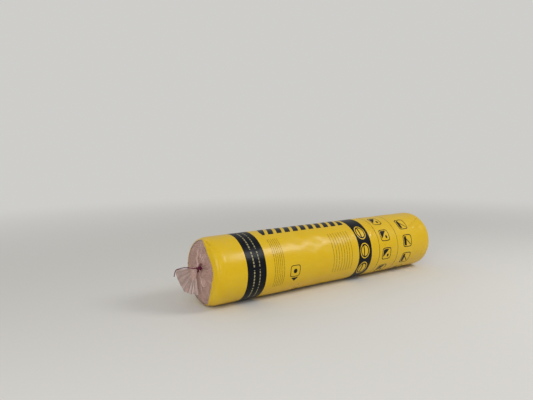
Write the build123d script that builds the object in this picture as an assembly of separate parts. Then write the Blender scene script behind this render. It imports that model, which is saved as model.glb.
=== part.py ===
from build123d import *
import math
import os

# Driving sizes of the roll, in millimetres. The origin is on the floor under the
# middle of the whole length. X runs along the roll from its tied end to its
# sealed end, Z is up, and the roll lies on its side.
roll_diameter = 266.0
blanket_width = 1200.0
film_wall = 0.6
film_clearance = 0.3

# Rounded shoulders, where the film draws the corners of the wool in
tied_shoulder_length = 44.0
tied_shoulder_drop = 17.0
sealed_shoulder_length = 46.0
sealed_shoulder_drop = 14.0

# Wound blanket: its winding bore and its turns, which show as ridges on both ends
bore_diameter = 24.0
turn_thickness = 8.0
turn_groove_depth = 2.0

# Gathered film on the tied end: pleats run in from the rim to a neck
pleat_count = 16
pleat_depth = 3.6
pleat_unevenness = 0.3
pleat_rhythm = 2.4
gather_margin = 12.0
gather_stations = [0, 0.3, 0.65, 1]
gather_hollow = 1.7
neck_rise = 10.0
neck_lift = 14.0
neck_sway = 6.0
neck_length = 12.0
neck_diameter = 20.0
neck_flute_depth = 1.0

# Waist that the tie pulls into the neck
waist_diameter = 14.0
waist_length = 9.0

# Tail of the bag past the tie: a fan of pleats that hangs from the neck, cut along
# an arc about a point behind the neck's end
fan_length = 96.0
fan_cut_offset = 15.0
fan_spread = 102.0
fan_tilt = 42.0
fan_margin = 14.0
fan_pleat_depth = 5.0
fan_root_pleat_depth = 0.8
fan_root_width = 14.0
fan_root_thickness = 7.0
fan_root_offset = 8.0

# Tie: string in two turns round the waist, a knot with two loops, and a loose end
string_diameter = 3.5
string_sides = 6
string_clearance = 0.2
string_pitch = 3.2
knot_diameter = 9.0
knot_angle = 35.0
loop_gap = 5.5
loop_play = 0.1
loop_root_share = 0.4
loop_facing = (-0.57, -0.82, 0.1)
upper_loop_length = 23.0
upper_loop_direction = (0.2, -0.58, 0.79)
lower_loop_length = 21.0
lower_loop_direction = (0.18, -0.95, 0.17)
loose_end_stub = 9.5
loose_end_overhang = 8.8
loose_end_arc_share = 0.45

# Corners of the loose end's route after the knot, along the top of the fan and down
loose_end_corners = [
    (-581.5, -16.0, 158.0),
    (-596.5, -12.5, 161.5),
    (-615.5, -11.0, 165.0),
    (-633.5, -10.0, 166.5),
    (-654.0, -9.0, 165.5),
    (-655.0, -9.0, 138.0),
]

# Places that follow from the driving sizes
roll_radius = roll_diameter / 2
wool_inset = film_wall + film_clearance
bag_length = blanket_width + 2 * wool_inset
neck_reach = neck_rise + neck_length
tail_reach = fan_length - fan_cut_offset + loose_end_overhang
total_length = bag_length + neck_reach + tail_reach
tied_plane = neck_reach + tail_reach - total_length / 2
sealed_plane = tied_plane + bag_length
tied_flat_radius = roll_radius - tied_shoulder_drop
gather_radius = tied_flat_radius - gather_margin
neck_radius = neck_diameter / 2
neck_centre_y = -neck_sway
neck_centre_z = roll_radius + neck_lift
neck_end = tied_plane - neck_reach
waist_middle = tied_plane - neck_rise - neck_length / 2
loop_width = loop_gap + string_diameter
corner_count = 2 * pleat_count


def shoulder(end_x, length, drop, inset, outward):
    """Arc that leaves the side of the roll in line with it and meets the end's plane."""
    radius = (length**2 + drop**2) / (2 * drop) - inset
    turn = math.degrees(math.asin((length - inset) / radius))
    start = (end_x - outward * length, roll_radius - inset)
    return JernArc(start, (outward, 0), radius, -outward * turn)


def roll_face(inset, bore_radius=0.0, groove_depth=0.0):
    """Half section of the roll about its axis, set in from the outside of the film."""
    tied_curve = shoulder(tied_plane, tied_shoulder_length, tied_shoulder_drop, inset, -1)
    sealed_curve = shoulder(sealed_plane, sealed_shoulder_length, sealed_shoulder_drop, inset, 1)
    tied_ends = turn_ridges(tied_curve @ 1, bore_radius, groove_depth)
    sealed_ends = turn_ridges(sealed_curve @ 1, bore_radius, -groove_depth)
    edges = [
        Polyline(*tied_ends),
        tied_curve,
        Line(tied_curve @ 0, sealed_curve @ 0),
        sealed_curve,
        Polyline(*sealed_ends),
        Line(tied_ends[0], sealed_ends[0]),
    ]
    return Plane.XZ * make_face(edges)


def turn_ridges(rim, bore_radius, groove_depth):
    """Points from the bore out to the rim, with a groove between each two turns."""
    if groove_depth == 0:
        return [(rim.X, bore_radius), rim]
    points = []
    turns = int((rim.Y - bore_radius) / turn_thickness)
    for turn in range(turns):
        inner = bore_radius + turn * turn_thickness
        points.append((rim.X + groove_depth, inner))
        points.append((rim.X, inner + turn_thickness / 2))
    points.append((rim.X + groove_depth, bore_radius + turns * turn_thickness))
    points.append(rim)
    return points


def turned(face):
    """Solid of revolution about the roll's axis, lifted so that the roll meets the floor."""
    return Pos(0, 0, roll_radius) * revolve(face, Axis.X)


def fluted_round(centre, radius, depth):
    """Round section across the roll with one flute for each pleat."""
    corners = []
    for corner in range(corner_count):
        angle = math.pi * (corner + 0.5) / pleat_count
        unevenness = 1 + pleat_unevenness * math.sin(pleat_rhythm * corner)
        reach = radius + depth * unevenness * (-1) ** corner
        corners.append(centre + Vector(0, -reach * math.sin(angle), reach * math.cos(angle)))
    return Face(Wire.make_polygon(corners, close=True))


def fan_section(distance, half_width, depth, thickness):
    """Zigzag section across the fan, one corner for each corner of the neck."""
    tilt = math.radians(fan_tilt)
    along = Vector(-math.cos(tilt), 0, -math.sin(tilt))
    across = Vector(-math.sin(tilt), 0, math.cos(tilt))
    middle = neck_point(neck_end) + along * distance
    front = []
    back = []
    for corner in range(pleat_count):
        step = 1 - 2 * corner / (pleat_count - 1)
        fold = depth * (-1) ** corner
        spine = middle + across * (half_width * step)
        front.append(spine + Vector(0, fold - thickness / 2, 0))
        back.append(spine + Vector(0, fold + thickness / 2, 0))
    return Face(Wire.make_polygon(front + back[::-1], close=True))


def gathered_cone(offset):
    """Pleated film drawn from the flat of the tied end to the neck, as a solid."""
    sections = []
    for share in gather_stations:
        x = tied_plane + offset - neck_rise * share**gather_hollow
        radius = gather_radius + (neck_radius - gather_radius) * share
        depth = pleat_depth * math.sin(math.pi * share) + neck_flute_depth * share
        centre = Vector(x, neck_centre_y * share, roll_radius + neck_lift * share)
        sections.append(fluted_round(centre, radius, depth))
    return loft(sections, ruled=True)


def neck_point(x):
    """Point on the neck's own axis."""
    return Vector(x, neck_centre_y, neck_centre_z)


def neck():
    """Bunched film from the end of the cone to the fan, with the waist for the tie."""
    start = fluted_round(neck_point(tied_plane - neck_rise), neck_radius, neck_flute_depth)
    end = fluted_round(neck_point(neck_end), neck_radius, neck_flute_depth)
    across_roll = Pos(*neck_point(waist_middle)) * Rot(0, 90, 0)
    ring = Cylinder(neck_diameter, waist_length) - Cylinder(waist_diameter / 2, waist_length)
    return loft([start, end], ruled=True) - across_roll * ring


def fan():
    """Fan of pleats that spreads from the neck, cut to length along an arc."""
    chord = fan_length + fan_margin
    half_chord = chord * math.tan(math.radians(fan_spread / 2))
    root = fan_section(
        fan_root_offset, fan_root_width / 2, fan_root_pleat_depth, fan_root_thickness
    )
    mouth = fluted_round(neck_point(neck_end), neck_radius, neck_flute_depth)
    edge = fan_section(chord, half_chord, fan_pleat_depth, 2 * film_wall)
    joined = loft([mouth, root], ruled=True)
    spread = loft([root, edge], ruled=True)
    cut_height = 2 * (fan_pleat_depth + fan_root_thickness)
    cut = Rot(90, 0, 0) * Cylinder(fan_length, cut_height)
    return joined + (spread & Pos(*neck_point(neck_end + fan_cut_offset)) * cut)


def film_bag():
    """One piece of film: body, shoulders, sealed end, pleated gather, neck and fan."""
    outside = turned(roll_face(0)) + gathered_cone(0) + neck() + fan()
    inside = turned(roll_face(film_wall)) + gathered_cone(film_wall)
    return outside - inside


def wool_roll():
    """Wound blanket as one turned solid with its bore and the turns on its ends."""
    return turned(roll_face(wool_inset, bore_diameter / 2, turn_groove_depth))


def knot_place():
    """Middle of the knot, on the front of the neck and clear of its flutes."""
    flutes = neck_radius + (1 + pleat_unevenness) * neck_flute_depth
    reach = flutes + string_clearance + string_diameter / 2
    angle = math.radians(knot_angle)
    return neck_point(waist_middle) + Vector(0, -reach * math.cos(angle), reach * math.sin(angle))


def stub_end():
    """Point where the stub of the loose end stops, in line with the route's first run."""
    knot = knot_place()
    return knot + (Vector(*loose_end_corners[0]) - knot).normalized() * loose_end_stub


def string_section():
    """Section of the string, as an even polygon."""
    return RegularPolygon(string_diameter / 2, string_sides)


def string_along(line):
    """String swept along a line."""
    start = Plane(origin=line @ 0, z_dir=line % 0)
    return sweep(start * string_section(), path=line)


def knot_loop(length, direction):
    """Loop of string that stands out of the knot in a direction."""
    rise = Vector(*direction).normalized()
    sideways = rise.cross(Vector(*loop_facing)).normalized()
    knot = knot_place()
    inside_knot = sideways * (knot_diameter - string_diameter) / 4
    side = sideways * loop_width / 2
    root = rise * length * loop_root_share
    line = FilletPolyline(
        knot + inside_knot,
        knot + root + side,
        knot + rise * length + side,
        knot + rise * length - side,
        knot + root - side,
        knot - inside_knot,
        radius=loop_width / 2 - loop_play,
    )
    return string_along(line)


def tie():
    """Two turns of string round the waist, the knot, its loops and the loose end's stub."""
    ring_radius = waist_diameter / 2 + string_clearance + string_diameter / 2
    knot = knot_place()
    solid = Pos(*knot) * Sphere(knot_diameter / 2)
    for side in (-0.5, 0.5):
        centre = neck_point(waist_middle + side * string_pitch)
        top = Plane(origin=centre + Vector(0, 0, ring_radius), z_dir=(0, 1, 0))
        solid += revolve(top * string_section(), Axis(centre, (1, 0, 0)))
    solid += knot_loop(upper_loop_length, upper_loop_direction)
    solid += knot_loop(lower_loop_length, lower_loop_direction)
    return solid + string_along(Line(knot, stub_end()))


def loose_end():
    """Loose end of the string from its stub, in straight runs joined by arcs."""
    corners = [stub_end()] + [Vector(*corner) for corner in loose_end_corners]
    radii = []
    for before, corner, after in zip(corners, corners[1:], corners[2:]):
        turn = math.radians((corner - before).get_angle(after - corner))
        shorter = min((corner - before).length, (after - corner).length)
        radii.append(loose_end_arc_share * shorter / math.tan(turn / 2))
    print("loose end arc radii", [round(radius, 1) for radius in radii])
    line = FilletPolyline(*corners, radius=radii)
    print("loose end length", round(line.length, 1))
    return string_along(line)


nodes = {
    "wool_roll": wool_roll(),
    "film_bag": film_bag(),
    "tie_string": tie(),
    "tie_loose_end": loose_end(),
}

os.makedirs("parts", exist_ok=True)
for name, solid in nodes.items():
    export_step(solid, f"parts/{name}.step")
    print(name, round(solid.volume), solid.bounding_box())
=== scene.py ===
import bisect
import math
import random

import bmesh
import bpy
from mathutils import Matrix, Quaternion, Vector, noise


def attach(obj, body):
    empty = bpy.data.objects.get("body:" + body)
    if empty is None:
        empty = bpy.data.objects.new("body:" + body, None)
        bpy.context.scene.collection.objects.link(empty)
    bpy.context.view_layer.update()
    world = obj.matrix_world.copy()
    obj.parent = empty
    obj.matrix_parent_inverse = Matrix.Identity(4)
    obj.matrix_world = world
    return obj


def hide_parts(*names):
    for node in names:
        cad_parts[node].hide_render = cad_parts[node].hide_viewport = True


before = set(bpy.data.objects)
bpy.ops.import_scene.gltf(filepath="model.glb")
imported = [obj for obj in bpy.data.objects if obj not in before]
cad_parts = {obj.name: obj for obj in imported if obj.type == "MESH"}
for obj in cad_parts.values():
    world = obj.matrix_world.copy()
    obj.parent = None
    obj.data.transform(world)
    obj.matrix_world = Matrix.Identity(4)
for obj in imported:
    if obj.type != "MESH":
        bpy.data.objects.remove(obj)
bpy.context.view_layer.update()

# Wool blanket: one length of glass wool felt, 50 mm thick before it is wound up hard
# round a thin bore. Its cut edges show on both ends as one long spiral, a turn every
# 8 mm, pinkish brown and fluffy. Nothing fixes it: the film bag keeps it wound.
MM = 0.001
ROLL_RADIUS = 133.0
AXIS_HEIGHT = 133.0
TIED_PLANE = -545.0
SEALED_PLANE = 656.8
# Length and drop of the rounded shoulders.
TIED_SHOULDER = (44.0, 30.0)
SEALED_SHOULDER = (46.0, 20.0)
TIED_SIDE_X = TIED_PLANE + TIED_SHOULDER[0]
SEALED_SIDE_X = SEALED_PLANE - SEALED_SHOULDER[0]
SHOULDER_SQUARENESS = 2.4
WOOL_INSET = 7.0
WOOL_END_GAP = 4.0
WOOL_CORNERS = 240
WOOL_SHOULDER_STEPS = 24
WOOL_SIDE_STEPS = 12
BORE_RADIUS = 12.0
BORE_LIP_DEPTH = 6.0
TURN_PITCH = 8.0
RINGS_IN_A_TURN = 6
TURN_GROOVE = 3.0
TURN_STEP = 1.4
WOOL_TUFT = 1.1
WOOL_TUFT_SIZE = 9.0
WOOL_SIDE_SINK = 0.6
WOOL_LIGHT = "#D8A888"
WOOL_DARK = "#A87860"
# Painted shade: the colour that darkens the grooves between the turns on the ends.
WOOL_GROOVE_SHADE = "#7A5242"
# Tufts are 9 mm across. Glass fibres are too fine to show, so they are drawn 2 mm apart.
WOOL_TUFTS_PER_M = 110.0
WOOL_FIBRES_PER_M = 520.0


def linear(hex_colour):
    """Linear red, green, blue and alpha of an sRGB hex colour."""
    channels = [int(hex_colour[i : i + 2], 16) / 255 for i in (1, 3, 5)]
    spread = [c / 12.92 if c <= 0.04045 else ((c + 0.055) / 1.055) ** 2.4 for c in channels]
    return (*spread, 1.0)


def fill_inputs(node, inputs):
    """Sets a node's inputs, by name or in their order, to values or links them to outputs."""
    for key, value in inputs.items() if isinstance(inputs, dict) else enumerate(inputs):
        if isinstance(value, bpy.types.NodeSocket):
            node.id_data.links.new(value, node.inputs[key])
        else:
            node.inputs[key].default_value = value


def add_node(tree, kind, inputs=(), give=0, **settings):
    """Adds a node with its settings and inputs, and gives one of its outputs.

    A kind in capitals is the operation of a Math node.
    """
    if kind.isupper():
        kind, settings = "ShaderNodeMath", {"operation": kind}
    node = tree.nodes.new(kind)
    for key, value in settings.items():
        setattr(node, key, value)
    fill_inputs(node, inputs)
    return node.outputs[give]


def new_material(name):
    """Material with its tree and its main shader."""
    material = bpy.data.materials.new(name)
    material.use_nodes = True
    return material, material.node_tree, material.node_tree.nodes["Principled BSDF"]


def smooth(value, low, high):
    """Eases from 0 at low to 1 at high."""
    share = min(max((value - low) / (high - low), 0.0), 1.0)
    return share * share * (3 - 2 * share)


def shoulder_point(side_x, sizes, outward, share):
    """Point (x, radius) of a rounded shoulder, from the side at 0 to the end at 1."""
    length, drop = sizes
    angle = share * math.pi / 2
    power = 2 / SHOULDER_SQUARENESS
    x = side_x + outward * length * math.sin(angle) ** power
    return x, ROLL_RADIUS - drop * (1 - math.cos(angle) ** power)


def skin(name, corners, stations, place, map_place, pole=False, close=None, crease_and_sheen_of=None):
    """Mesh of rings: a circle extruded once for each station, each point then placed.

    place(turn, station) gives a point and map_place(turn, station) its UV, in millimetres,
    at a turn from 0 to 1 round a ring. With pole, the last ring closes in a point. close is the
    operator that closes the open rims. The last argument gives each point its whiteness as an
    attribute: creased film, and on the ridges of pleats and folds a painted highlight.
    """
    bm = bmesh.new()
    corner_of = bm.verts.layers.int.new("corner")
    station_of = bm.verts.layers.int.new("station")
    crease_and_sheen = bm.verts.layers.float.new("crease_and_sheen") if crease_and_sheen_of else None
    ring = bmesh.ops.create_circle(bm, segments=corners, radius=1)["verts"]
    for corner, vert in enumerate(ring):
        vert[corner_of] = corner
    edges = list(bm.edges)
    for station in range(1, stations):
        grown = bmesh.ops.extrude_edge_only(bm, edges=edges)["geom"]
        for item in grown:
            if isinstance(item, bmesh.types.BMVert):
                item[station_of] = station
        edges = [
            item
            for item in grown
            if isinstance(item, bmesh.types.BMEdge)
            and item.verts[0][station_of] == item.verts[1][station_of] == station
        ]
    for vert in bm.verts:
        turn, station = vert[corner_of] / corners, vert[station_of]
        vert.co = Vector(place(turn, station)) * MM
        if crease_and_sheen_of:
            vert[crease_and_sheen] = crease_and_sheen_of(turn, station)
    own_map = bm.loops.layers.uv.new("map")
    for face in bm.faces:
        numbers = [vert[corner_of] for vert in face.verts]
        over_seam = max(numbers) - min(numbers) > 1
        for loop in face.loops:
            corner = loop.vert[corner_of]
            if over_seam and corner == 0:
                corner = corners
            u, v = map_place(corner / corners, loop.vert[station_of])
            loop[own_map].uv = (u * MM, v * MM)
    if pole:
        last = [vert for vert in bm.verts if vert[station_of] == stations - 1]
        middle = sum((vert.co for vert in last), Vector()) / len(last)
        bmesh.ops.pointmerge(bm, verts=last, merge_co=middle)
    if close:
        close(bm, edges=[edge for edge in bm.edges if edge.is_boundary])
        bmesh.ops.recalc_face_normals(bm, faces=bm.faces)
    for face in bm.faces:
        face.smooth = True
    mesh = bpy.data.meshes.new(name)
    bm.to_mesh(mesh)
    bm.free()
    piece = bpy.data.objects.new(name, mesh)
    bpy.context.scene.collection.objects.link(piece)
    return piece


def wool_end(plane, side_x, sizes, end):
    """Points (x, radius, end) of the half outline of one end, from the bore to the side.

    Both ends have as many rings as fit on the tied end.
    """
    tied_top = ROLL_RADIUS - TIED_SHOULDER[1] - WOOL_INSET
    rings = int((tied_top - BORE_RADIUS) / TURN_PITCH * RINGS_IN_A_TURN)
    top = ROLL_RADIUS - sizes[1] - WOOL_INSET
    points = []
    for ring in range(rings):
        radius = BORE_RADIUS + (top - BORE_RADIUS) * (ring / rings)
        points.append((plane + end * WOOL_END_GAP, radius, end))
    for step in range(WOOL_SHOULDER_STEPS + 1):
        share = 1 - step / WOOL_SHOULDER_STEPS
        x, radius = shoulder_point(side_x, sizes, -end, share)
        points.append((x + end * WOOL_END_GAP * share, radius - WOOL_INSET, end * share))
    return points


def wool_stations():
    """Points (x, radius, end) of the blanket's half outline, from bore to bore."""
    side = []
    for step in range(1, WOOL_SIDE_STEPS):
        x = TIED_SIDE_X + (SEALED_SIDE_X - TIED_SIDE_X) * step / WOOL_SIDE_STEPS
        side.append((x, ROLL_RADIUS - WOOL_INSET, 0.0))
    tied = wool_end(TIED_PLANE, TIED_SIDE_X, TIED_SHOULDER, 1.0)
    sealed = wool_end(SEALED_PLANE, SEALED_SIDE_X, SEALED_SHOULDER, -1.0)
    return tied + side + sealed[::-1]


WOOL_OUTLINE = wool_stations()


def wool_place(turn, station):
    """Point of the blanket, with the grooves, steps and tufts of its turns on the ends."""
    x, radius, end = WOOL_OUTLINE[station]
    y, z = -math.cos(2 * math.pi * turn), math.sin(2 * math.pi * turn)
    wound = (radius - BORE_RADIUS) / TURN_PITCH - turn * (1 if end > 0 else -1)
    winding = math.floor(wound) + turn
    groove = TURN_GROOVE * (1 - abs(math.sin(math.pi * wound)) ** 0.6)
    step = TURN_STEP * noise.noise(Vector((winding * 1.7, 4.0 if end > 0 else 9.0, 0)))
    tuft_place = Vector((x, y * radius, z * radius)) / WOOL_TUFT_SIZE
    tuft = WOOL_TUFT * noise.fractal(tuft_place, 0.8, 2.0, 3)
    depth = abs(end) * (groove + step) + tuft
    if station in (0, len(WOOL_OUTLINE) - 1):
        depth = BORE_LIP_DEPTH
    x += depth * end
    radius += (tuft - WOOL_SIDE_SINK) * (1 - abs(end))
    return x, y * radius, AXIS_HEIGHT + z * radius


def wool_map(turn, station):
    """Winding angle as a share, and the radius."""
    return turn / MM, WOOL_OUTLINE[station][1]


def wool_material():
    """Glass wool felt, resin bound: matt brown fluff of crossed fibres in thin layers, painted shade in
    its grooves.
    """
    material, tree, shader = new_material("glass_wool_felt")
    place = add_node(tree, "ShaderNodeTexCoord", give="Object")
    own_map = add_node(tree, "ShaderNodeUVMap", uv_map="map")
    winding = add_node(tree, "ShaderNodeSeparateXYZ", (own_map,), "X")
    radius = add_node(tree, "ShaderNodeSeparateXYZ", (own_map,), "Y")
    # Turn number in the spiral: the radius in metres over the pitch, less the winding angle.
    reach = add_node(tree, "MULTIPLY_ADD", (radius, 1000 / TURN_PITCH, -BORE_RADIUS / TURN_PITCH))
    turn = add_node(tree, "SUBTRACT", (reach, winding))
    # Mask of the grooves between turns, 1 at their middle, where the wool gets painted shade.
    wave = add_node(tree, "PINGPONG", (turn, 0.5))
    edge = add_node(tree, "ShaderNodeMapRange", (wave, 0.02, 0.3, 1.0, 0.0))
    pattern = {"Vector": place, "Scale": WOOL_TUFTS_PER_M, "Detail": 6.0, "Roughness": 0.7}
    tufts = add_node(tree, "ShaderNodeTexNoise", pattern)
    fibres = add_node(
        tree,
        "ShaderNodeTexNoise",
        {"Vector": place, "Scale": WOOL_FIBRES_PER_M, "Detail": 4.0, "Roughness": 0.75, "Distortion": 1.8},
    )
    tones = {0: tufts, 6: linear(WOOL_DARK), 7: linear(WOOL_LIGHT)}
    felt = add_node(tree, "ShaderNodeMix", tones, 2, data_type="RGBA")
    fleck = add_node(tree, "ShaderNodeMapRange", (fibres, 0.35, 0.7, 0.75, 1.2))
    lit = add_node(tree, "ShaderNodeVectorMath", {0: felt, "Scale": fleck}, operation="SCALE")
    # Painted shade: darker wool colour along the grooves between the turns.
    tones = {0: edge, 6: lit, 7: linear(WOOL_GROOVE_SHADE)}
    colour = add_node(tree, "ShaderNodeMix", tones, 2, data_type="RGBA")
    height = add_node(tree, "ADD", (tufts, fibres))
    bump = add_node(tree, "ShaderNodeBump", {"Height": height, "Strength": 0.9, "Distance": 0.002})
    fill_inputs(shader, {"Base Color": colour, "Normal": bump, "Roughness": 0.95})
    fill_inputs(shader, {"Specular IOR Level": 0.2, "Sheen Weight": 0.25, "Sheen Roughness": 0.6})
    return material


wool = skin(
    "wool_blanket",
    WOOL_CORNERS,
    len(WOOL_OUTLINE),
    wool_place,
    wool_map,
    close=bmesh.ops.bridge_loops,
)
wool.data.materials.append(wool_material())
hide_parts("wool_roll")
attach(wool, "root")

# Film bag, printed part: blown polythene film, yellow and printed in black, drawn tight
# over the blanket's side and shoulders. The print stops where the film turns in over the
# ends. Pleats of the gathered end run out over the near shoulder.
GATHER_RADIUS = 104.0
NECK_RADIUS = 10.0
NECK_RISE = 10.0
NECK_LIFT = 14.0
NECK_SWAY = 6.0
CONE_POWER = 1.7
CONE_STEPS = 60
SHOULDER_STEPS = 48
END_STEPS = 30
BODY_CORNERS = 360
TIED_RINGS = 32
SIDE_RINGS = 200
SEALED_RINGS = 22
SEALED_PRINT_RADIUS = 108.0
ROUND_THE_ROLL = 2 * math.pi * ROLL_RADIUS
# Radius at which the print stops on the tied end, at each turn from the top to the front.
TIED_PRINT_EDGE = [
    (0.0, 126), (0.05, 114), (0.08, 107), (0.108, 102), (0.164, 100), (0.208, 103),
    (0.247, 97), (0.292, 91), (0.364, 95), (0.403, 108), (0.44, 121), (0.5, 124),
    (0.62, 112), (0.74, 104), (0.86, 110), (0.94, 120), (1.0, 126),
]


def table_value(rows, place):
    """Value at a place between the rows (place, value) of a table."""
    row = min(max(bisect.bisect_right(rows, (place, math.inf)), 1), len(rows) - 1)
    (start, low), (end, high) = rows[row - 1], rows[row]
    return low + (high - low) * min(max((place - start) / (end - start), 0.0), 1.0)


def off_axis(radius, turn):
    """Distance (y, z) from the axis at a radius and a turn, from the top to the front."""
    angle = math.pi / 2 - 2 * math.pi * turn
    return -radius * math.cos(angle), radius * math.sin(angle)


def meridian_table():
    """Rows (along, x, radius, lift) of the film's half outline, neck to far end's middle."""
    points = []
    for step in range(CONE_STEPS + 1):
        share = 1 - step / CONE_STEPS
        radius = GATHER_RADIUS + (NECK_RADIUS - GATHER_RADIUS) * share
        points.append((TIED_PLANE - NECK_RISE * share**CONE_POWER, radius, NECK_LIFT * share))
    for step in range(SHOULDER_STEPS + 1):
        share = 1 - step / SHOULDER_STEPS
        points.append((*shoulder_point(TIED_SIDE_X, TIED_SHOULDER, -1, share), 0.0))
    side_row = len(points) - 1
    for step in range(SHOULDER_STEPS + 1):
        share = step / SHOULDER_STEPS
        points.append((*shoulder_point(SEALED_SIDE_X, SEALED_SHOULDER, 1, share), 0.0))
    for step in range(1, END_STEPS + 1):
        radius = (ROLL_RADIUS - SEALED_SHOULDER[1]) * (1 - step / END_STEPS)
        points.append((SEALED_PLANE, radius, 0.0))
    along = [0.0]
    for before, after in zip(points, points[1:]):
        along.append(along[-1] + math.dist(before, after))
    start = along[side_row]
    return [(distance - start, *point) for distance, point in zip(along, points)]


MERIDIAN = meridian_table()
MERIDIAN_ALONG = [row[0] for row in MERIDIAN]


def meridian(along):
    """Film's x, radius, lift and outward direction at a distance from the near shoulder."""
    row = min(max(bisect.bisect_right(MERIDIAN_ALONG, along), 1), len(MERIDIAN) - 1)
    start, end = MERIDIAN[row - 1], MERIDIAN[row]
    share = (along - start[0]) / (end[0] - start[0])
    x, radius, lift = (a + (b - a) * share for a, b in zip(start[1:], end[1:]))
    step_x, step_radius = end[1] - start[1], end[2] - start[2]
    length = math.hypot(step_x, step_radius)
    return x, radius, lift, -step_radius / length, step_x / length


def along_at(radius, first, last):
    """Distance along the film at which it has a radius, between two rows of the table."""
    rows = [row for row in MERIDIAN if first <= row[0] <= last]
    return min(rows, key=lambda row: abs(row[2] - radius))[0]


NECK_ALONG = MERIDIAN_ALONG[0]
FAR_MIDDLE_ALONG = MERIDIAN_ALONG[-1]
SIDE_LENGTH = SEALED_SIDE_X - TIED_SIDE_X
TIED_EDGE_ALONG = [(turn, along_at(radius, NECK_ALONG, 0)) for turn, radius in TIED_PRINT_EDGE]
TIED_PRINT_ALONG = min(along for turn, along in TIED_EDGE_ALONG)
SEALED_PRINT_ALONG = along_at(SEALED_PRINT_RADIUS, SIDE_LENGTH, FAR_MIDDLE_ALONG)

# Pleats: uneven cells round the neck, each with its own lean, height and start.
PLEATS = 30
FINE_PLEATS = 78
FINE_PLEAT_SHARE = 0.45
PLEAT_HEIGHT = 9.0
PLEAT_FILLING = 0.75
PLEAT_MEANDER = 0.008
chance = random.Random(11)


def pleat_cells(count, strength_low, strength_high, start_low, start_high):
    """Rows (edge, lean, strength, start) of pleats, sorted round the neck."""
    cells = []
    for cell in range(count):
        edge = (cell + chance.uniform(-0.3, 0.3)) / count
        lean = chance.choice((chance.uniform(0.18, 0.4), chance.uniform(0.6, 0.82)))
        strength = chance.uniform(strength_low, strength_high)
        cells.append((edge, lean, strength, chance.uniform(start_low, start_high)))
    return cells


MAIN_PLEATS = pleat_cells(PLEATS, 0.3, 1.15, -0.06, 0.35)
SMALL_PLEATS = pleat_cells(FINE_PLEATS, 0.0, 0.5, -0.1, 0.6)


def pleat_height(cells, turn, share):
    """Height of the pleats from 0 to about 1 at a turn round the neck."""
    edges = [cell[0] for cell in cells]
    turn = edges[0] + (turn - edges[0]) % 1
    index = bisect.bisect_right(edges, turn) - 1
    edge, lean, strength, start = cells[index]
    after = cells[index + 1][0] if index + 1 < len(cells) else edges[0] + 1
    phase = (turn - edge) / (after - edge)
    rise = phase / lean if phase < lean else (1 - phase) / (1 - lean)
    return rise**1.5 * strength * smooth(share, start, start + 0.35)


def pleats(turn, share):
    """Heights of the main and the small pleats at a turn and a share of the way to the neck."""
    y, z = off_axis(2, turn)
    meander = PLEAT_MEANDER * noise.noise(Vector((-y, z, share * 3)))
    main = pleat_height(MAIN_PLEATS, turn + meander, share)
    return main, pleat_height(SMALL_PLEATS, turn - meander, share)


# Dents that the wool's soft side leaves in the film: place along and round (mm), reach
# along and round, and depth.
DENTS = [
    (350, 108, 26, 20, 2.6),
    (404, 152, 30, 20, 2.4),
    (452, 118, 28, 18, 2.6),
    (495, 160, 32, 22, 1.8),
    (372, 70, 34, 16, 1.8),
    (40, 62, 14, 34, 1.6),
    (1088, 124, 26, 24, 3.4),
    (560, 90, 36, 18, 1.7),
    (700, 190, 60, 30, 1.8),
    (230, 190, 60, 34, 1.5),
    (860, 110, 40, 30, 1.5),
    (480, 330, 70, 40, 2.4),
    (150, 420, 60, 50, 2.0),
    (760, 470, 80, 40, 2.2),
    (420, 560, 60, 40, 2.2),
    (900, 640, 60, 50, 2.0),
    (250, 700, 60, 40, 2.0),
]

# Single folds in the film: start along and round, end along and round (mm), half width
# and height.
FOLDS = [
    (-36, 26, -34, 56, 4.5, -3.0),
    (-34, 56, -24, 98, 5.5, -3.0),
    (-54, 13, -109, 36, 3.2, 3.4),
    (-125, 372, -98, 348, 3.5, 2.4),
    (-110, 318, -70, 322, 4.0, 2.6),
    (-118, 258, -78, 250, 4.0, 2.0),
    (-112, 395, -60, 398, 3.5, 2.2),
    (-18, 100, -29, 182, 4.0, -1.0),
    (-29, 182, -29, 262, 4.0, -1.0),
    (4, 130, -3, 196, 4.0, -0.8),
    (-3, 196, -4, 258, 4.0, -0.8),
    (1132, 66, 1034, 114, 3.6, -4.0),
    (1124, 96, 1060, 124, 8.0, 3.4),
    (795, 70, 757, 138, 5.0, 1.6),
    (640, 20, 655, 120, 5.0, 0.9),
]
SHORT_CREASES = 70
LONGEST_CREASE = 70


def film_creases():
    """Rows (along, round, cosine, sine, half length, half width, height) of creases."""
    rows = []
    for _ in range(SHORT_CREASES):
        lean = chance.gauss(math.pi / 2, 0.45)
        place = (chance.uniform(-30, SIDE_LENGTH + 60), chance.uniform(0, ROUND_THE_ROLL))
        size = (chance.uniform(16, 62), chance.uniform(1.6, 4.2))
        height = chance.choice((-1, 1)) * chance.uniform(0.25, 0.9)
        rows.append((*place, math.cos(lean), math.sin(lean), *size, height))
    return rows


CREASES = film_creases()

# Weld that closes the sealed end, level across its middle, and the puckers that it draws
# in the film.
WELD_HALF_LENGTH = 104.0
WELD_HALF_WIDTH = 3.0
WELD_HEIGHT = 1.3
PUCKERS = 34
PUCKER_HALF_WIDTH = 2.2


def weld_puckers():
    """Rows (place along the weld, reach to each side, lean, height) of the puckers."""
    rows = []
    for pucker in range(PUCKERS):
        place = WELD_HALF_LENGTH * (2 * (pucker + chance.uniform(0.1, 0.9)) / PUCKERS - 1)
        reach = chance.choice((chance.uniform(15, 40), chance.uniform(45, 105)))
        lean = chance.uniform(-0.35, 0.35) + 0.25 * place / WELD_HALF_LENGTH
        rows.append((place, reach, lean, chance.choice((-0.8, 0.6)) * chance.uniform(0.5, 1.5)))
    return rows


WELD_PUCKERS = weld_puckers()


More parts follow.
